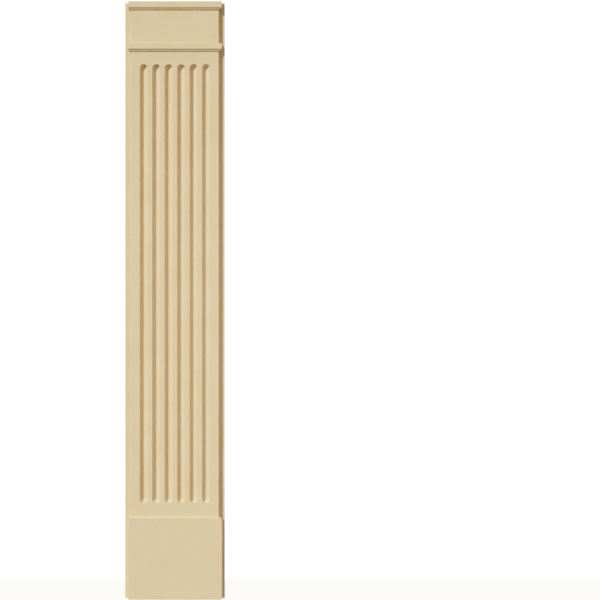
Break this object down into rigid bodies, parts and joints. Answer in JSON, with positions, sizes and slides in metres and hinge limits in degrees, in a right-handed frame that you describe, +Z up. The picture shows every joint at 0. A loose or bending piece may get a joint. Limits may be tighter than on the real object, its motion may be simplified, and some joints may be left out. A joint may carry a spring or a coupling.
{
  "type": "pilaster",
  "caption": "Fluted pilaster moulded in one piece, with plinth block, neck band, plain frieze and cap on a flat back plate, fixed to the wall beside a doorway.",
  "frame": {"origin": "middle of the flat back, on the wall's plane", "axes": "+Z up the pilaster from its foot to its head, +Y into the wall, -Y out of the face, +X to the right seen from the front"},
  "size_m": [0.4096, 0.0508, 2.4384],
  "materials": {
    "primer": "factory-primed rigid polyurethane, matt, warm tan"
  },
  "bodies": {
    "root": {"pilaster": "primer"}
  },
  "joints": []
}
